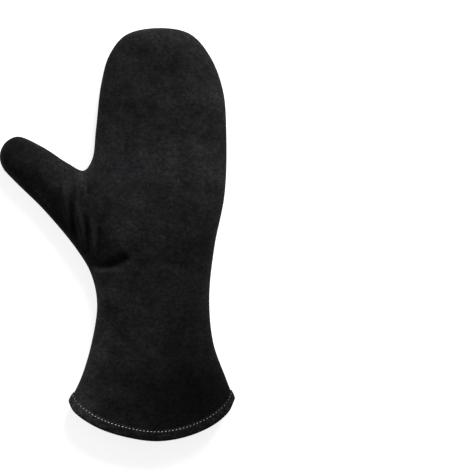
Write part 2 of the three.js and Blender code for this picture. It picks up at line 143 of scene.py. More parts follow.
# The seam seen from above, from the cuff corner on the thumb side round to the other cuff corner.
SEAM_POINTS = [
    ("thumb side cuff corner", -45.8, -161.2),
    ("cuff flare", -34.8, -138.5),
    ("above the cuff", -24.7, -104.4),
    ("wrist", -19.6, -66.8),
    ("heel of the thumb", -25.5, -38.2),
    ("thumb start", -39.1, -15.0),
    ("thumb underside", -71.0, 23.4),
    ("thumb underside end", -100.4, 52.4),
    ("thumb tip low", -111.1, 64.6),
    ("thumb tip", -114.1, 76.4),
    ("thumb tip top", -109.0, 88.6),
    ("thumb tip high", -97.0, 94.8),
    ("thumb upper side", -73.0, 85.1),
    ("thumb root", -48.4, 69.3),
    ("crotch", -32.4, 61.9),
    ("first finger root", -24.5, 72.3),
    ("first finger", -20.7, 101.6),
    ("first finger bend", -15.5, 146.2),
    ("first finger tip", -7.6, 174.1),
    ("fingertip thumb side", 8.3, 193.4),
    ("fingertip", 40.9, 200.2),
    ("fingertip far side", 70.8, 194.3),
    ("little finger tip", 90.2, 172.4),
    ("little finger", 102.7, 139.3),
    ("little finger bend", 105.9, 99.3),
    ("heel of the hand", 104.3, 39.1),
    ("above the wrist", 94.4, -12.0),
    ("far side wrist", 89.4, -61.6),
    ("far side above the cuff", 93.3, -105.3),
    ("far side cuff flare", 105.3, -139.1),
    ("far side cuff corner", 112.8, -158.6),
]

# The cut edge of the cuff seen from above, between the same two corners.
HEM_POINTS = [
    ("thumb side cuff corner", -45.8, -161.2),
    ("thumb side turn", -41.1, -169.4),
    ("thumb side", -19.4, -184.1),
    ("thumb side middle", 7.0, -193.1),
    ("middle", 38.6, -197.6),
    ("far side middle", 68.0, -193.0),
    ("far side", 93.9, -181.4),
    ("far side turn", 108.1, -168.8),
    ("far side cuff corner", 112.8, -158.6),
]

# Place along the mitten, height of the seam above the table, rise of the back above the seam, and
# the radii with which the back and the palm turn over at the seam.
PROFILE = [
    (200, 12.5, 25.0, 14, 12),
    (110, 13.5, 27.5, 14, 12),
    (20, 14.0, 28.0, 14, 12),
    (-60, 13.0, 23.5, 15, 14),
    (-120, 13.0, 20.0, 18, 18),
    (-200, 13.0, 13.5, 26, 24),
]
SEAM_COLUMN, RISE_COLUMN, BACK_TURN_COLUMN, PALM_TURN_COLUMN = 1, 2, 3, 4

# Where the thumb starts and is full across the mitten, how much lower its seam lies, and the share
# of the back's rise that it has.
THUMB_STARTS_AT = -25.0
THUMB_FULL_AT = -75.0
THUMB_SEAM_DROP = 2.0
THUMB_RISE_SHARE = 0.84

# Folds of the back panel: start, middle and end in plan, height in the middle, and half width on
# the left and on the right of the way from start to end.
FOLDS = [
    ("under the thumb", -85, 54, -60, 24, -39, -8, -3.6, 8.0, 7.0),
    ("outer thumb ridge", -52, 58, -50.5, 28, -42, -6, 3.2, 2.6, 2.4),
    ("outer thumb groove", -43, 58, -45, 40, -44, 22, -0.8, 3.0, 2.8),
    ("thumb side groove", -45, 24, -41, 4, -35.5, -16, -3.4, 3.2, 3.4),
    ("middle thumb ridge", -35, 64, -40.5, 31, -31, -14, 3.0, 3.2, 2.6),
    ("slit below the crotch", -28, 60, -29, 48, -28, 36, -1.8, 2.4, 2.4),
    ("inner thumb groove", -31, 20, -28.5, -3, -24, -32, -3.8, 3.0, 3.2),
    ("inner thumb ridge", -25, 14, -22.5, -8, -25, -31, 2.8, 3.2, 2.8),
    ("hand groove", -9, 66, -12.5, 36, -14, 8, -2.4, 4.6, 4.4),
    ("wing of the pinch", -18, 22, -19, -4, -20, -34, -3.0, 5.0, 3.0),
    ("hand side ridge", 6, 36, -2, 16, -11, -13, 3.6, 3.4, 8.5),
    ("ball of the thumb", -14, -2, -4, -4, 8, -1, 0.8, 9.0, 7.0),
    ("wrist pinch", -40, -34.5, 2.4, -30.6, 11.5, -21.5, -6.2, 6.8, 2.7),
    ("lip of the pinch", -30, -37, 3, -35.5, 16, -25, 1.2, 3.0, 14.0),
    ("fold below the pinch", 13, -24, 7, -34, 2, -50, 1.4, 3.0, 3.2),
    ("wrist crease", 10, -35, 42, -26, 72, -36, -1.0, 4.5, 4.5),
    ("heel groove", 84, 78, 85.5, 42, 84, 6, -0.8, 3.2, 3.2),
]

# From here on sizes are in metres. Places where painted shade darkens and painted highlights
# lighten the back's colour, in place of shading and rim sheen from the lamps: name, middle, reach
# and share of the brightness.
BACK_PAINTED_LIGHT_PLACES = [
    ("far side of the cuff", (0.079, -0.158, 0.02), 0.100, 0.29),
    ("far cuff corner", (0.112, -0.150, 0.01), 0.040, 0.75),
    ("middle of the cuff", (0.030, -0.160, 0.03), 0.070, 0.79),
    ("thumb side of the cuff", (-0.046, -0.152, 0.008), 0.042, 2.60),
    ("above the cuff", (-0.032, -0.104, 0.010), 0.040, 2.55),
    ("thumb side of the wrist", (-0.024, -0.062, 0.008), 0.036, 2.50),
    ("below the pinch", (-0.012, -0.045, 0.022), 0.027, 1.60),
    ("far side above the cuff", (0.071, -0.098, 0.03), 0.030, 0.84),
    ("far side of the wrist", (0.082, -0.060, 0.03), 0.062, 0.68),
    ("middle of the wrist", (0.042, -0.034, 0.03), 0.060, 0.72),
    ("above the wrist", (0.092, 0.006, 0.02), 0.050, 0.53),
    ("fingertips", (0.030, 0.172, 0.035), 0.045, 0.78),
    ("fingers", (0.052, 0.145, 0.035), 0.060, 0.74),
    ("little finger tip", (0.073, 0.166, 0.03), 0.032, 0.72),
    ("first finger", (0.018, 0.112, 0.038), 0.032, 0.78),
    ("first finger root", (-0.006, 0.072, 0.038), 0.030, 0.84),
    ("middle of the hand", (0.052, 0.016, 0.040), 0.026, 1.28),
    ("heel of the hand", (0.076, 0.064, 0.038), 0.036, 1.48),
    ("first finger edge", (-0.024, 0.105, 0.010), 0.055, 1.40),
    ("crotch", (-0.024, 0.078, 0.012), 0.025, 2.00),
    ("little finger edge", (0.106, 0.088, 0.010), 0.038, 0.47),
    ("wedge beside the hand", (-0.010, 0.017, 0.038), 0.022, 0.72),
    ("beside the ball of the thumb", (-0.016, 0.000, 0.035), 0.020, 0.80),
    ("ball of the thumb", (0.002, 0.003, 0.035), 0.022, 1.35),
    ("thumb base", (-0.038, -0.012, 0.015), 0.030, 0.72),
    ("thumb underside", (-0.062, 0.020, 0.015), 0.036, 0.48),
    ("thumb underside end", (-0.086, 0.047, 0.018), 0.026, 0.50),
    ("thumb top", (-0.070, 0.074, 0.035), 0.040, 0.78),
    ("thumb tip", (-0.104, 0.092, 0.02), 0.034, 0.44),
]
# The binding's painted highlight at the thumb side corner and painted shade at its middle, in the
# same way.
STRIP_PAINTED_LIGHT_PLACES = [
    ("thumb side corner", (-0.044, -0.162, 0.010), 0.068, 3.10),
    ("middle", (0.040, -0.197, 0.020), 0.045, 0.84),
]

# Places where the thread is darkened by soot, in the same way.
THREAD_SOOT = [
    ("thumb side corner", (-0.042, -0.164, 0.018), 0.034, 0.45),
    ("far side corner", (0.110, -0.162, 0.018), 0.084, 0.24),
]

# Share of a place's reach within which it has its full effect.
PLACE_CORE = 0.15

# Spans of a noise that are stretched to a full change, from the gentlest to the sharpest. The last
# picks out rare peaks.
GENTLE_SPAN = (0.25, 0.75)
MIDDLE_SPAN = (0.3, 0.7)
SHARP_SPAN = (0.35, 0.65)
PEAK_SPAN = (0.70, 0.78)

# Colours of the leather, the thread and the table.
BACK_BLACK = (0.0088, 0.0087, 0.0089)
PALM_BLACK = (0.0076, 0.0075, 0.0078)
STRIP_BLACK = (0.0067, 0.0066, 0.0068)
THREAD_WHITE = (0.70, 0.69, 0.65)
TABLE_GREY = (0.45, 0.45, 0.45)

# The black drifts slowly between these two tones.
WARM_TONE = (1.035, 0.995, 0.985)
COOL_TONE = (0.975, 0.99, 1.05)

# Noises of the looks: scale, detail and roughness.
CLOUD_NOISE = (22.0, 2.0, 0.6)
STROKE_NOISE = (75.0, 2.0, 0.6)
TUFT_NOISE = (300.0, 2.0, 0.6)
FIBRE_NOISE = (900.0, 2.0, 0.6)
SPECK_NOISE = (520.0, 1.0, 0.4)
DRIFT_NOISE = (14.0, 2.0, 0.6)
FINE_RELIEF_NOISE = (900.0, 4.0, 0.7)
MEDIUM_RELIEF_NOISE = (170.0, 3.0, 0.6)
TWIST_NOISE = (900.0, 1.0, 0.4)
DUST_NOISE = (140.0, 2.0, 0.5)
TABLE_NOISE = (3.0, 2.0, 0.5)

# Layers of the nap: noise, spread of the brightness, and whether a coarser grain widens it.
NAP_LAYERS = [
    (STROKE_NOISE, 0.32, False),
    (TUFT_NOISE, 0.38, True),
    (FIBRE_NOISE, 0.50, True),
]

# Scaling of the places at which the noises of the nap are read, and brightness of a pale speck.
NAP_STRETCH = (0.85, 1.0, 1.0)
SPECK_STRENGTH = 1.3

# Changes of the brightness and of the roughness, each from the low to the high end of its noise.
DUST_RANGE = (0.55, 1.0)
TWIST_RANGE = (0.85, 1.1)
TABLE_RANGE = (0.98, 1.0)
SUEDE_ROUGHNESS = (1.0, 0.84)
THREAD_ROUGHNESS = (0.9, 0.7)

# Shares of the fine and the medium fibres in the suede's relief; strength and height of reliefs.
FINE_SHARE = 0.4
MEDIUM_SHARE = 0.6
SUEDE_RELIEF = (0.6, 0.0016)
THREAD_RELIEF = (0.5, 0.0003)

SUEDE_GLOSS = {
    "Specular IOR Level": 0.03,
    "Sheen Weight": 0.01,
    "Sheen Roughness": 0.55,
    "Sheen Tint": (0.75, 0.76, 0.80, 1.0),
}
THREAD_GLOSS = {"Specular IOR Level": 0.3}
TABLE_GLOSS = {
    "Roughness": 0.9,
    "Specular IOR Level": 0.0,
    "Emission Color": (1.0, 1.0, 1.0, 1.0),
    "Emission Strength": 0.80,
}

# Distance from the middle of the table to each of its sides.
TABLE_REACH = 12.0

# Name, place, place that it is aimed at, size and power of each light, and strength of the sky.
LIGHTS = [
    ("window", (0.50, 1.00, 0.74), (0.0, 0.0, 0.0), 0.7, 35.0),
    ("side_window", (-0.90, 0.66, 0.25), (0.0, -0.05, 0.0), 0.5, 2.2),
]
SKY_STRENGTH = 0.30

# The camera looks straight down; its sensor and lens are in millimetres.
CAMERA_PLACE = (0.1142, -0.0007, 3.021)
CAMERA_SIGHT = 60.0
SENSOR_WIDTH = 36.0
LENS_LENGTH = 237.6


def mix(a, b, share):
    return a + (b - a) * share


def smooth_step(low, high, value):
    share = np.clip((value - low) / (high - low), 0.0, 1.0)
    return share * share * (3.0 - 2.0 * share)


def unit(vectors):
    """Vectors of the same directions with a length of one."""
    return vectors / np.linalg.norm(vectors, axis=-1, keepdims=True)


def closed(line):
    """A line that ends on its first point."""
    return np.vstack([line, line[:1]])


def lengths_along(line):
    """The length of a line up to each of its points."""
    steps = np.linalg.norm(np.diff(line, axis=0), axis=1)
    return np.concatenate([[0.0], np.cumsum(steps)])


def read_line(line, lengths, wanted):
    """Values of a line at wanted lengths, from the length at each of its points."""
    return np.stack([np.interp(wanted, lengths, column) for column in line.T], 1)


def spline(points, at):
    """Reads the centripetal curve through the points at fractional point numbers."""
    known = np.array(points, float)
    known = np.vstack([2 * known[0] - known[1], known, 2 * known[-1] - known[-2]])
    first = np.clip(np.floor(at).astype(int), 0, len(points) - 2)
    share = (at - first)[:, None]
    p0, p1, p2, p3 = known[first], known[first + 1], known[first + 2], known[first + 3]

    def gap(a, b):
        return (np.sum((b - a) ** 2, axis=1) ** 0.25)[:, None]

    g0, g1, g2 = gap(p0, p1), gap(p1, p2), gap(p2, p3)
    start = ((p1 - p0) / g0 - (p2 - p0) / (g0 + g1) + (p2 - p1) / g1) * g1
    end = ((p2 - p1) / g1 - (p3 - p1) / (g1 + g2) + (p3 - p2) / g2) * g1
    square = 3 * (p2 - p1) - 2 * start - end
    cube = 2 * (p1 - p2) + start + end
    return p1 + start * share + square * share**2 + cube * share**3


def between(table, begin, finish, shares):
    """Points between two named places, at shares of the length between them."""
    names = [row[0] for row in table]
    points = [row[1:3] for row in table]
    numbers = np.linspace(names.index(begin), names.index(finish), CURVE_SAMPLES)
    line = spline(points, numbers)
    lengths = lengths_along(line)
    return read_line(line, lengths, np.asarray(shares) * lengths[-1])


def seam_place(name):
    return np.array(next(row[1:3] for row in SEAM_POINTS if row[0] == name), float)


def crowded_shares(count, weight, at_both_ends=True):
    """Shares from 0 to 1 that lie closer together at the last end, or at both ends."""
    share = np.linspace(0.0, 1.0, count + 1)
    if at_both_ends:
        return mix(share, (1 - np.cos(share * np.pi)) / 2, weight)
    return mix(share, np.sin(share * np.pi / 2), weight)


def seam_pieces():
    """Start, direction and length of each short straight piece of the seam."""
    shares = np.linspace(0, 1, SEAM_SAMPLES)
    line = between(SEAM_POINTS, SEAM_POINTS[0][0], SEAM_POINTS[-1][0], shares)
    before = line[0] + (line[0] - line[1]) * SEAM_TAIL_STEPS
    after = line[-1] + (line[-1] - line[-2]) * SEAM_TAIL_STEPS
    line = np.vstack([before, line, after])
    step = np.diff(line, axis=0)
    length = np.linalg.norm(step, axis=1)
    return line[:-1], step / length[:, None], length


PIECE_START, PIECE_WAY, PIECE_LENGTH = seam_pieces()


def seam_distance(x, y):
    """A distance to the seam that stays smooth in the middle of the mitten."""
    flat_x, flat_y = np.ravel(x), np.ravel(y)
    result = np.empty(flat_x.shape)
    for begin in range(0, len(flat_x), POINTS_AT_ONCE):
        part = slice(begin, begin + POINTS_AT_ONCE)
        ax = PIECE_START[None, :, 0] - flat_x[part, None]
        ay = PIECE_START[None, :, 1] - flat_y[part, None]
        near = ax * PIECE_WAY[:, 0] + ay * PIECE_WAY[:, 1]
        far = near + PIECE_LENGTH
        across = np.abs(ax * PIECE_WAY[:, 1] - ay * PIECE_WAY[:, 0])
        across = np.maximum(LEAST_DISTANCE, across)
        share = far / np.hypot(far, across) - near / np.hypot(near, across)
        result[part] = np.sqrt(2.0 / np.sum(share / across**2, axis=1))
    return result.reshape(np.shape(x))


def profile_at(y, column):
    value = np.full(np.shape(y), float(PROFILE[0][column]))
    for upper, lower in zip(PROFILE[:-1], PROFILE[1:]):
        inside = y < upper[0]
        share = smooth_step(upper[0], lower[0], y)
        value = np.where(inside, mix(upper[column], lower[column], share), value)
    return value


def thumb_share(x):
    return smooth_step(-THUMB_STARTS_AT, -THUMB_FULL_AT, -x)


def seam_height(x, y):
    return profile_at(y, SEAM_COLUMN) - THUMB_SEAM_DROP * thumb_share(x)


def fold_height(x, y):
    """Ridges and grooves that follow two straight stretches and fade out at both ends."""
    height = np.zeros(np.shape(x))
    for _, x1, y1, x2, y2, x3, y3, rise, left, right in FOLDS:
        nearest = np.full(np.shape(x), np.inf)
        value = np.zeros(np.shape(x))
        for ax, ay, bx, by, first in ((x1, y1, x2, y2, 0.0), (x2, y2, x3, y3, 0.5)):
            dx, dy = bx - ax, by - ay
            along = np.clip(((x - ax) * dx + (y - ay) * dy) / (dx * dx + dy * dy), 0.0, 1.0)
            off_x, off_y = x - ax - dx * along, y - ay - dy * along
            off = np.hypot(off_x, off_y)
            aside = (off_y * dx - off_x * dy) / math.hypot(dx, dy)
            side = smooth_step(-FOLD_TURN, FOLD_TURN, aside)
            taper = 1.0 - np.abs(2.0 * (first + along / 2.0) - 1.0) ** 3
            here = rise * taper * np.exp(-((off / mix(right, left, side)) ** 2))
            value = np.where(off < nearest, here, value)
            nearest = np.minimum(off, nearest)
        height = height + value
    return height


def rumple(x, y):
    """Slight unevenness of soft leather: broad waves with smaller ones on them."""
    height = np.empty(np.shape(x))
    for place in np.ndindex(height.shape):
        spot = Vector((x[place], y[place], 0.0))
        height[place] = sum(rise * noise.noise(spot / length) for rise, length in RUMPLES)
    return height


def turn_over(distance, radius):
    """Share of a height that is reached at a distance from the seam, steep at the seam."""
    return np.sqrt(1 - np.exp(-2 * distance / radius))


def hem_y(x):
    return np.interp(x, [row[1] for row in HEM_POINTS], [row[2] for row in HEM_POINTS])


def back_surface(x, y):
    distance = seam_distance(x, y)
    rise = profile_at(y, RISE_COLUMN) * mix(1.0, THUMB_RISE_SHARE, thumb_share(x))
    edge = BACK_EDGE_SHARE * turn_over(distance, profile_at(y, BACK_TURN_COLUMN))
    dome = (1 - BACK_EDGE_SHARE) * (1 - np.exp(-distance / BACK_DOME_REACH))
    folds = (fold_height(x, y) + rumple(x, y)) * smooth_step(0, FOLD_FADE, distance)
    return seam_height(x, y) + SEAM_GAP / 2 + rise * (edge + dome) + folds


def palm_surface(x, y):
    distance = seam_distance(x, y)
    seam = seam_height(x, y) - SEAM_GAP / 2
    hang = seam * PALM_SLACK * turn_over(distance, profile_at(y, PALM_TURN_COLUMN))
    stand_off = STAND_OFF * (1 - smooth_step(*STAND_OFF_FADE, y - hem_y(x)))
    return np.maximum(stand_off, seam - hang)


def fill_sides(bottom, top, left, right, bottom_shares, left_shares):
    """A grid of points that blends its four sides over the area between them."""
    u = np.asarray(bottom_shares)[None, :, None]
    v = np.asarray(left_shares)[:, None, None]
    across = mix(left[:, None, :], right[:, None, :], u)
    along = mix(bottom[None, :, :], top[None, :, :], v)
    lower = mix(bottom[0], bottom[-1], u)
    upper = mix(top[0], top[-1], u)
    return across + along - mix(lower, upper, v)


def relax_top_corners(grid, size):
    """Evens out the grid next to its two top corners, which lie on smooth stretches of the seam."""
    for view in (grid[::-1], grid[::-1, ::-1]):
        block = view[: size + 2, : size + 2]
        for _ in range(RELAX_ROUNDS):
            around = block[:-2, 1:-1] + block[2:, 1:-1] + block[1:-1, :-2] + block[1:-1, 2:]
            block[1:-1, 1:-1] = around / 4


def thumb_base(start, crotch, shares):
    """The line between hand and thumb, which meets the seam squarely at both ends."""
    corners = np.array([start, start + THUMB_BASE_PULL, crotch + CROTCH_PULL, crotch])
    t = np.linspace(0, 1, THUMB_BASE_SAMPLES)[:, None]
    line = (
        corners[0] * (1 - t) ** 3
        + 3 * corners[1] * t * (1 - t) ** 2
        + 3 * corners[2] * t**2 * (1 - t)
        + corners[3] * t**3
    )
    lengths = lengths_along(line)
    return read_line(line, lengths, shares * lengths[-1])


def cuff_side(mesh):
    """The seam from the cuff corner to the thumb's start, with even rows under the binding."""
    band = BINDING_WIDTH / CUFF_SIDE_LENGTH
    above = crowded_shares(mesh["cuff"] - BINDING_ROWS, CROWDING["cuff"], at_both_ends=False)
    under = np.linspace(0, band, BINDING_ROWS + 1)[:-1]
    shares = np.concatenate([under, mix(band, 1.0, above)])
    return between(SEAM_POINTS, "thumb side cuff corner", "thumb start", shares)


def hand_grid(mesh, cuff, base):
    """Plan grid of the hand with the cuff, from the hem to the fingertips."""
    finger_shares = crowded_shares(mesh["fingers"], CROWDING["fingers"])
    fingers = between(SEAM_POINTS, "crotch", "fingertip thumb side", finger_shares)
    left = np.vstack([cuff, base[1:], fingers[1:]])
    left_shares = (left[:, 1] - left[0, 1]) / (left[-1, 1] - left[0, 1])
    even = np.linspace(0, 1, CURVE_SAMPLES)
    far = between(SEAM_POINTS, "fingertip far side", "far side cuff corner", even)[::-1]
    far_y = mix(far[0, 1], far[-1, 1], left_shares)
    right = np.stack([np.interp(far_y, far[:, 1], far[:, 0]), far_y], 1)
    across = crowded_shares(mesh["columns"], CROWDING["columns"])
    hem = between(HEM_POINTS, "thumb side cuff corner", "far side cuff corner", across)
    tip = between(SEAM_POINTS, "fingertip thumb side", "fingertip far side", across)
    hand = fill_sides(hem, tip, left, right, across, left_shares)
    relax_top_corners(hand, mesh["columns"] // HAND_CORNER_DIVISOR)
    return hand


def thumb_grid(mesh, base, base_shares):
    """Plan grid of the thumb, from its base to its tip."""
    along = crowded_shares(mesh["along"], CROWDING["along"])
    underside = between(SEAM_POINTS, "thumb start", "thumb tip low", along)
    upper_side = between(SEAM_POINTS, "crotch", "thumb tip high", along)
    tip = between(SEAM_POINTS, "thumb tip low", "thumb tip high", base_shares)
    thumb = fill_sides(base, tip, underside, upper_side, base_shares, along)
    relax_top_corners(thumb, mesh["thumb"] // THUMB_CORNER_DIVISOR)
    return thumb


def plan_grids(mesh):
    """Plan grids of the hand with the cuff and of the thumb, joined along the thumb's base."""
    cuff = cuff_side(mesh)
    base_shares = crowded_shares(mesh["thumb"], CROWDING["thumb"])
    base = thumb_base(cuff[-1], seam_place("crotch"), base_shares)
    return hand_grid(mesh, cuff, base), thumb_grid(mesh, base, base_shares)


def seam_mask(shape, joined_rows=slice(0, 0)):
    """Which points of a plan grid lie on the seam; the joined rows of its left side don't."""
    mask = np.zeros(shape, bool)
    mask[-1, :] = True
    mask[:, -1] = True
    mask[:, 0] = True
    mask[joined_rows, 0] = False
    return mask


def shell_points(plan, surface, on_seam, side):
    """Heights over a plan grid; points on the seam get the seam's own height."""
    x, y = plan[..., 0], plan[..., 1]
    z = surface(x, y)
    z = np.where(on_seam, seam_height(x, y) + side * SEAM_GAP / 2, z)
    return np.stack([x, y, z], -1)


def make_object(name, points, faces, material):
    mesh = bpy.data.meshes.new(name)
    mesh.from_pydata([tuple(p) for p in np.asarray(points) * MM], [], faces)
    mesh.update()
    mesh.shade_smooth()
    mesh.materials.append(material)
    piece = bpy.data.objects.new(name, mesh)
    bpy.context.scene.collection.objects.link(piece)
    return piece


def grid_faces(ids, flipped):
    a, b = ids[:-1, :-1].ravel(), ids[:-1, 1:].ravel()
    c, d = ids[1:, 1:].ravel(), ids[1:, :-1].ravel()
    quads = np.stack([a, d, c, b] if flipped else [a, b, c, d], 1)
    return [tuple(int(i) for i in quad) for quad in quads]


def panel(name, mesh, surface, side, material):
    """One leather panel with its thumb, as a skin that is then given its thickness."""
    hand_plan, thumb_plan = plan_grids(mesh)
    base_row = mesh["cuff"]
    crotch_row = mesh["cuff"] + mesh["thumb"]
    hand_mask = seam_mask(hand_plan.shape[:2], slice(base_row + 1, crotch_row))
    hand = shell_points(hand_plan, surface, hand_mask, side)
    thumb = shell_points(thumb_plan, surface, seam_mask(thumb_plan.shape[:2]), side)
    hand_ids = np.arange(hand[..., 0].size).reshape(hand.shape[:2])
    own_ids = np.arange(thumb[1:, :, 0].size).reshape(thumb[1:].shape[:2])
    thumb_ids = np.vstack([hand_ids[base_row : crotch_row + 1, 0], hand_ids.size + own_ids])
    points = np.vstack([hand.reshape(-1, 3), thumb[1:].reshape(-1, 3)])
    faces = grid_faces(hand_ids, side < 0) + grid_faces(thumb_ids, side < 0)
    piece = make_object(name, points, faces, material)
    thickness = piece.modifiers.new("leather", "SOLIDIFY")
    thickness.thickness = SHELL_WALL * MM
    thickness.offset = -1.0
    return piece, hand


def outward(points, row, side):
    """Directions that leave the leather along one row of the grid."""
    across = np.gradient(points[row], axis=0)
    along = points[row + 1] - points[row]
    return unit(np.cross(across, along) * side)


def mouth_loop(back, palm):
    """The cut edge and the binding's upper edge all round the mouth, with their directions."""
    sides = []
    for points, side in ((back, 1), (palm, -1)):
        edge_out = outward(points, 0, side)
        above_out = outward(points, BINDING_ROWS, side)
        block = [points[0], points[BINDING_ROWS], edge_out, above_out]
        sides.append([part[::side] for part in block])
    return [np.vstack([a, b[1:-1]]) for a, b in zip(*sides)]


def even_loop(loop, count):
    """Resamples the loop so that its stations lie evenly along the cut edge."""
    lengths = lengths_along(closed(loop[0]))
    wanted = np.linspace(0, lengths[-1], count, endpoint=False)
    edge, above, *directions = [read_line(closed(part), lengths, wanted) for part in loop]
    result = [edge, above]
    for values in directions:
        for _ in range(NORMAL_SMOOTHINGS):
            values = (np.roll(values, 1, 0) + 2 * values + np.roll(values, -1, 0)) / 4
        result.append(unit(values))
    return result


def downward(loop):
    """Directions in the leather's surface that leave the cut edge squarely."""
    edge, above, edge_out, _ = loop
    down = edge - above
    down -= edge_out * np.sum(down * edge_out, axis=1)[:, None]
    return unit(down)


def leg_point(loop, share, out):
    """A point of the binding's leg: share 0 at its free edge and 1 at the cut edge."""
    edge, above, edge_out, above_out = loop
    return mix(above, edge, share) + unit(mix(above_out, edge_out, share)) * out


def outer_rise(share):
    """Height of the binding's outer face over the shell, pressed down along its stitches."""
    full = BINDING_CLEARANCE + BINDING_LEATHER
    pressed = FREE_EDGE_PRESS * math.exp(-((share / FREE_EDGE_REACH) ** 2))
    from_stitches = share - (1 - STITCH_LINE)
    groove = GROOVE_DEPTH * math.exp(-((from_stitches / GROOVE_REACH) ** 2))
    crown_share = min(1.0, max(0.0, (share - CROWN_START) / (1 - CROWN_START)))
    return full - pressed - groove + CROWN_RISE * math.sin(math.pi * crown_share)


def binding_rows(loop):
    """The binding's section, row by row: outer leg, fold, inner leg and back along the inside."""
    edge, _, edge_out, _ = loop
    down = downward(loop)
    outside = BINDING_CLEARANCE + BINDING_LEATHER
    inside = -SHELL_WALL - outside
    middle, radius = (outside + inside) / 2, (outside - inside) / 2
    rows = []
    for share in np.linspace(0, 1, OUTER_LEG_ROWS):
        rows.append(leg_point(loop, share, outer_rise(share)))
    for angle in np.linspace(0, math.pi, FOLD_ROWS)[1:-1]:
        out = middle + radius * math.cos(angle)
        rows.append(edge + edge_out * out + down * radius * math.sin(angle))
    for share in np.linspace(1, 0, INNER_LEG_ROWS):
        rows.append(leg_point(loop, share, -SHELL_WALL - outer_rise(share)))
    for share in (0, 0.5, 1):
        rows.append(leg_point(loop, share, -SHELL_WALL - BINDING_CLEARANCE))
    rows.append(edge - edge_out * SHELL_WALL / 2 + down * BINDING_CLEARANCE)
    for share in (1, 0.5, 0):
        rows.append(leg_point(loop, share, BINDING_CLEARANCE))
    return rows


def binding(loop, material):
    """The leather strip folded over the cut edge all round the mouth."""
    points = np.stack(binding_rows(loop), 1)
    count, section = points.shape[:2]
    ids = closed(np.arange(count * section).reshape(count, section))
    ids = np.hstack([ids, ids[:, :1]])
    return make_object("hem_binding_suede", points.reshape(-1, 3), grid_faces(ids, False), material)


def jitter(k, strength, step, lane):
    """A smooth random number for stitch k, from its own lane of the noise."""
    return strength * noise.noise(Vector((k * step, lane, 0.0)))


def stitch_points(line, out, way):
    """Rings of points round one stitch, whose middle line is given from end to end."""
    side = np.cross(out, way)
    points = []
    for t, centre in zip(np.linspace(0, 1, STITCH_RINGS), line):
        arch = math.sin(math.pi * t)
        lift = STITCH_ARCH * arch - STITCH_SINK
        radius = STITCH_RADIUS * mix(STITCH_TIP_SHARE, 1.0, arch**0.5)
        centre = centre + out * lift + side * STITCH_SLANT * (t - 0.5)
        for j in range(STITCH_SIDES):
            angle = 2 * math.pi * j / STITCH_SIDES
            height = radius * STITCH_FLATNESS * math.sin(angle)
            points.append(centre + side * radius * math.cos(angle) + out * height)
    return points


def stitch_faces(base):
    """Faces of one stitch, whose first point has the number given."""
    faces = []
    for ring in range(STITCH_RINGS - 1):
        first = base + ring * STITCH_SIDES
        for j in range(STITCH_SIDES):
            a, b = first + j, first + (j + 1) % STITCH_SIDES
            faces.append((a, b, b + STITCH_SIDES, a + STITCH_SIDES))
    last = base + (STITCH_RINGS - 1) * STITCH_SIDES
    faces.append(tuple(base + j for j in reversed(range(STITCH_SIDES))))
    faces.append(tuple(last + j for j in range(STITCH_SIDES)))
    return faces


def stitches(loop, material):
    """White stitches, each a short arched piece of thread that dips into the leather."""
    share = 1 - STITCH_LINE
    line = closed(leg_point(loop, share, outer_rise(share)))
    directions = closed(loop[3])
    lengths = lengths_along(line)
    whole = lengths[-1]
    count = round(whole / STITCH_PITCH)
    pitch = whole / count

    def at(place, values):
        return read_line(values, lengths, np.atleast_1d(place) % whole)

    points, faces = [], []
    for k in range(count):
        middle = (k + 0.5 + jitter(k, *PLACE_JITTER)) * pitch
        long = STITCH_LENGTH * (1 + jitter(k, *LENGTH_JITTER))
        out = unit(at(middle, directions)[0])
        way = unit(at(middle + WAY_STEP, line)[0] - at(middle - WAY_STEP, line)[0])
        places = middle + (np.linspace(0, 1, STITCH_RINGS) - 0.5) * long
        faces += stitch_faces(len(points))
        points += stitch_points(at(places, line), out, way)
    return make_object("hem_stitches", points, faces, material)


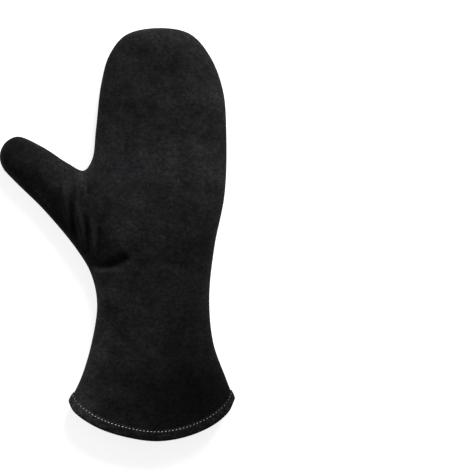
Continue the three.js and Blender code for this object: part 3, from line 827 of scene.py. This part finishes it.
class Nodes:
    """Short helpers for a material's node tree."""

    def __init__(self, name):
        self.material = bpy.data.materials.new(name)
        self.material.use_nodes = True
        self.tree = self.material.node_tree
        self.shader = self.tree.nodes["Principled BSDF"]

    def add(self, kind, **inputs):
        node = self.tree.nodes.new(kind)
        for key, value in inputs.items():
            self.put(node, key, value)
        return node

    def put(self, node, key, value):
        socket = node.inputs[key]
        if isinstance(value, bpy.types.NodeSocket):
            self.tree.links.new(value, socket)
        else:
            socket.default_value = value

    def shade(self, settings):
        for key, value in settings.items():
            self.put(self.shader, key, value)

    def places(self):
        return self.add("ShaderNodeTexCoord").outputs["Object"]

    def noise(self, look, vector):
        """A noise of the given scale, detail and roughness."""
        node = self.add("ShaderNodeTexNoise", Vector=vector)
        for key, number in zip(("Scale", "Detail", "Roughness"), look):
            self.put(node, key, number)
        return node.outputs["Fac"]

    def remap(self, value, span, result):
        """A value whose span is stretched to the two ends of the result."""
        node = self.add("ShaderNodeMapRange", Value=value)
        for key, number in zip(("From Min", "From Max", "To Min", "To Max"), (*span, *result)):
            self.put(node, key, number)
        return node.outputs["Result"]

    def maths(self, operation, a, b):
        node = self.tree.nodes.new("ShaderNodeMath")
        node.operation = operation
        self.put(node, 0, a)
        self.put(node, 1, b)
        return node.outputs["Value"]

    def blend(self, first, second, share):
        """A colour between two colours, by a share from 0 to 1."""
        node = self.tree.nodes.new("ShaderNodeMix")
        node.data_type = "RGBA"
        node.inputs["A"].default_value = (*first, 1.0)
        node.inputs["B"].default_value = (*second, 1.0)
        self.tree.links.new(share, node.inputs["Factor"])
        return node.outputs["Result"]

    def brush(self, strength, where, places):
        """The strength times places that fade from a share of it to all of it: painted shade and
        painted highlights on the suede, soot on the thread.
        """
        for _, place, reach, share in places:
            node = self.tree.nodes.new("ShaderNodeVectorMath")
            node.operation = "DISTANCE"
            self.put(node, 0, where)
            self.put(node, 1, place)
            span = (PLACE_CORE * reach, reach)
            light_and_soot_share = self.remap(node.outputs["Value"], span, (share, 1.0))
            strength = self.maths("MULTIPLY", strength, light_and_soot_share)
        return strength

    def tint(self, colour, strength):
        """A colour multiplied by a varying strength."""
        node = self.tree.nodes.new("ShaderNodeVectorMath")
        node.operation = "SCALE"
        self.put(node, 0, colour)
        self.put(node, "Scale", strength)
        return node.outputs["Vector"]

    def relief(self, height, strength, distance):
        bump = self.add("ShaderNodeBump", Strength=strength, Distance=distance, Height=height)
        self.put(self.shader, "Normal", bump.outputs["Normal"])


def toned(colour, tone):
    return tuple(part * factor for part, factor in zip(colour, tone))


def suede(name, colour, cloud, grain, painted_light_places=()):
    """Brushed suede: clouds of its pile, strokes, fibres and pale specks, with painted shade and
    painted highlights at the places given.
    """
    n = Nodes(name)
    where = n.places()
    stretched = n.add("ShaderNodeMapping", Vector=where, Scale=NAP_STRETCH).outputs["Vector"]
    clouds = n.noise(CLOUD_NOISE, where)
    strength = n.remap(clouds, GENTLE_SPAN, (1 - 2 * cloud, 1 + 2 * cloud))
    for look, spread, widens in NAP_LAYERS:
        spread = spread * grain if widens else spread
        layer = n.remap(n.noise(look, stretched), GENTLE_SPAN, (1 - spread, 1 + spread))
        strength = n.maths("MULTIPLY", strength, layer)
    speck = n.remap(n.noise(SPECK_NOISE, where), PEAK_SPAN, (0.0, SPECK_STRENGTH))
    # Painted shade and painted highlights from the places given scale the brightness here.
    strength = n.brush(n.maths("ADD", strength, speck), where, painted_light_places)
    drift = n.remap(n.noise(DRIFT_NOISE, where), SHARP_SPAN, (0.0, 1.0))
    black = n.blend(toned(colour, WARM_TONE), toned(colour, COOL_TONE), drift)
    medium = n.noise(MEDIUM_RELIEF_NOISE, stretched)
    medium_height = n.maths("MULTIPLY", medium, MEDIUM_SHARE)
    fine_height = n.maths("MULTIPLY", n.noise(FINE_RELIEF_NOISE, where), FINE_SHARE)
    rough = n.remap(medium, MIDDLE_SPAN, SUEDE_ROUGHNESS)
    n.shade({"Base Color": n.tint(black, strength), "Roughness": rough, **SUEDE_GLOSS})
    n.relief(n.maths("ADD", fine_height, medium_height), *SUEDE_RELIEF)
    return n.material


def thread(name, colour):
    """Off-white sewing thread with its twist and a little soot from the leather."""
    n = Nodes(name)
    where = n.places()
    twist = n.noise(TWIST_NOISE, where)
    dust = n.remap(n.noise(DUST_NOISE, where), SHARP_SPAN, DUST_RANGE)
    dust = n.brush(dust, where, THREAD_SOOT)
    strength = n.maths("MULTIPLY", dust, n.remap(twist, MIDDLE_SPAN, TWIST_RANGE))
    rough = n.remap(twist, MIDDLE_SPAN, THREAD_ROUGHNESS)
    n.shade({"Base Color": n.tint(colour, strength), "Roughness": rough, **THREAD_GLOSS})
    n.relief(twist, *THREAD_RELIEF)
    return n.material


def table_top():
    """A pale light table, bright enough to keep the mitten's shadow faint."""
    n = Nodes("pale_table")
    shade = n.remap(n.noise(TABLE_NOISE, n.places()), MIDDLE_SPAN, TABLE_RANGE)
    n.shade({"Base Color": n.tint(TABLE_GREY, shade), **TABLE_GLOSS})
    mesh = bpy.data.meshes.new("table_top")
    signs = ((-1, -1), (1, -1), (1, 1), (-1, 1))
    corners = [(x * TABLE_REACH, y * TABLE_REACH, 0) for x, y in signs]
    mesh.from_pydata(corners, [], [(0, 1, 2, 3)])
    mesh.materials.append(n.material)
    top = bpy.data.objects.new("table_top", mesh)
    bpy.context.scene.collection.objects.link(top)


def area_light(name, place, target, size, power):
    data = bpy.data.lights.new(name, "AREA")
    data.shape = "SQUARE"
    data.size = size
    data.energy = power
    lamp = bpy.data.objects.new(name, data)
    lamp.location = place
    aim = Vector(target) - Vector(place)
    lamp.rotation_euler = aim.to_track_quat("-Z", "Y").to_euler()
    bpy.context.scene.collection.objects.link(lamp)


def light_and_camera():
    scene = bpy.context.scene
    world = bpy.data.worlds.new("studio")
    world.use_nodes = True
    sky = world.node_tree.nodes["Background"]
    sky.inputs["Color"].default_value = (1.0, 1.0, 1.0, 1.0)
    sky.inputs["Strength"].default_value = SKY_STRENGTH
    scene.world = world
    for light in LIGHTS:
        area_light(*light)
    camera_data = bpy.data.cameras.new("camera")
    camera_data.sensor_width = SENSOR_WIDTH
    camera_data.lens = LENS_LENGTH
    camera_data.clip_end = CAMERA_SIGHT
    camera = bpy.data.objects.new("camera", camera_data)
    camera.location = CAMERA_PLACE
    camera.rotation_euler = (0.0, 0.0, 0.0)
    scene.collection.objects.link(camera)
    scene.camera = camera
    scene.view_settings.view_transform = "Standard"


def main():
    light_and_camera()
    table_top()
    # The back and the binding get painted shade and painted highlights from their tables of places.
    back_suede = suede("back_suede_nap", BACK_BLACK, cloud=0.20, grain=1.0, painted_light_places=BACK_PAINTED_LIGHT_PLACES)
    palm_suede = suede("palm_suede_nap", PALM_BLACK, cloud=0.15, grain=1.0)
    strip_suede = suede("binding_suede_nap", STRIP_BLACK, cloud=0.10, grain=1.8, painted_light_places=STRIP_PAINTED_LIGHT_PLACES)
    off_white = thread("off_white_thread", THREAD_WHITE)
    back, back_points = panel("back_suede_panel", BACK_MESH, back_surface, 1, back_suede)
    palm, palm_points = panel("palm_suede_panel", PALM_MESH, palm_surface, -1, palm_suede)
    loop = even_loop(mouth_loop(back_points, palm_points), BINDING_STATIONS)
    strip = binding(loop, strip_suede)
    thread_row = stitches(loop, off_white)
    for piece, node, slot in (
        (back, "back_panel", "back_suede"),
        (palm, "palm_panel", "palm_suede"),
        (strip, "hem_binding", "binding_suede"),
    ):
        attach(piece, "root")
        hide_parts(node)
    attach(thread_row, "root")


main()
